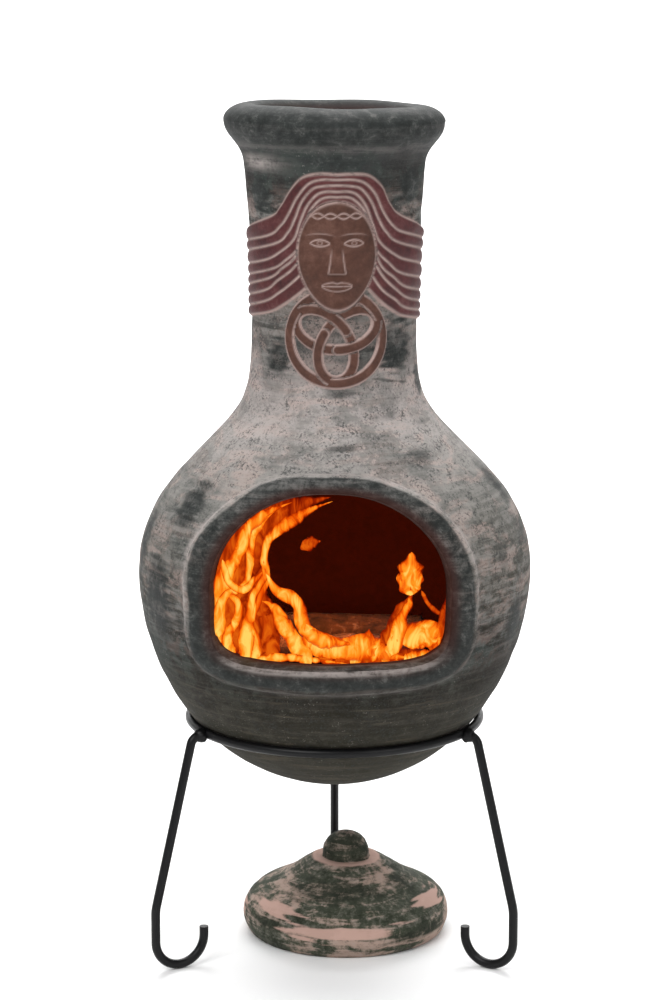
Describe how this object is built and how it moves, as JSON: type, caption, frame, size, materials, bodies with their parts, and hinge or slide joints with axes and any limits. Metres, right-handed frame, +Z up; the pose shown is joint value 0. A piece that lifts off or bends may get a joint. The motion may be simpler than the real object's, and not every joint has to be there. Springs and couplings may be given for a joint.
{
  "type": "chiminea",
  "caption": "Clay chiminea: round fire bowl with an arched mouth, a carved chimney neck, a bar stand with hooked feet and a rain lid set down beneath.",
  "frame": {"origin": "on the ground, on the chimney's axis", "axes": "+Z up along the chimney, the mouth faces -Y, +X to the viewer's right"},
  "size_m": [0.518, 0.5504, 1.128],
  "materials": {
    "painted_clay": "matt weathered paint over fired clay, rubbed back at the edges",
    "black_steel": "satin black paint on round steel bar",
    "sand": "dry sand, sooty on top",
    "charred_wood": "charred bark"
  },
  "bodies": {
    "stand": {"stand_ring": "black_steel", "leg_welds": "black_steel", "stand_leg_left": "black_steel", "stand_leg_right": "black_steel", "stand_leg_rear": "black_steel"},
    "pot": {"clay_body": "painted_clay", "sand_bed": "sand", "bed_log_left": "charred_wood", "bed_log_middle": "charred_wood", "bed_log_right": "charred_wood", "cross_log_front": "charred_wood", "cross_log_back": "charred_wood"},
    "lid": {"rain_lid": "painted_clay"}
  },
  "joints": [
    {"name": "pot_lift", "type": "slide", "parent": "stand", "child": "pot", "axis": [0, 0, 1], "range_m": [0, 0.15]},
    {"name": "lid_draw", "type": "slide", "parent": "stand", "child": "lid", "axis": [0, -1, 0], "range_m": [0, 0.55]}
  ]
}
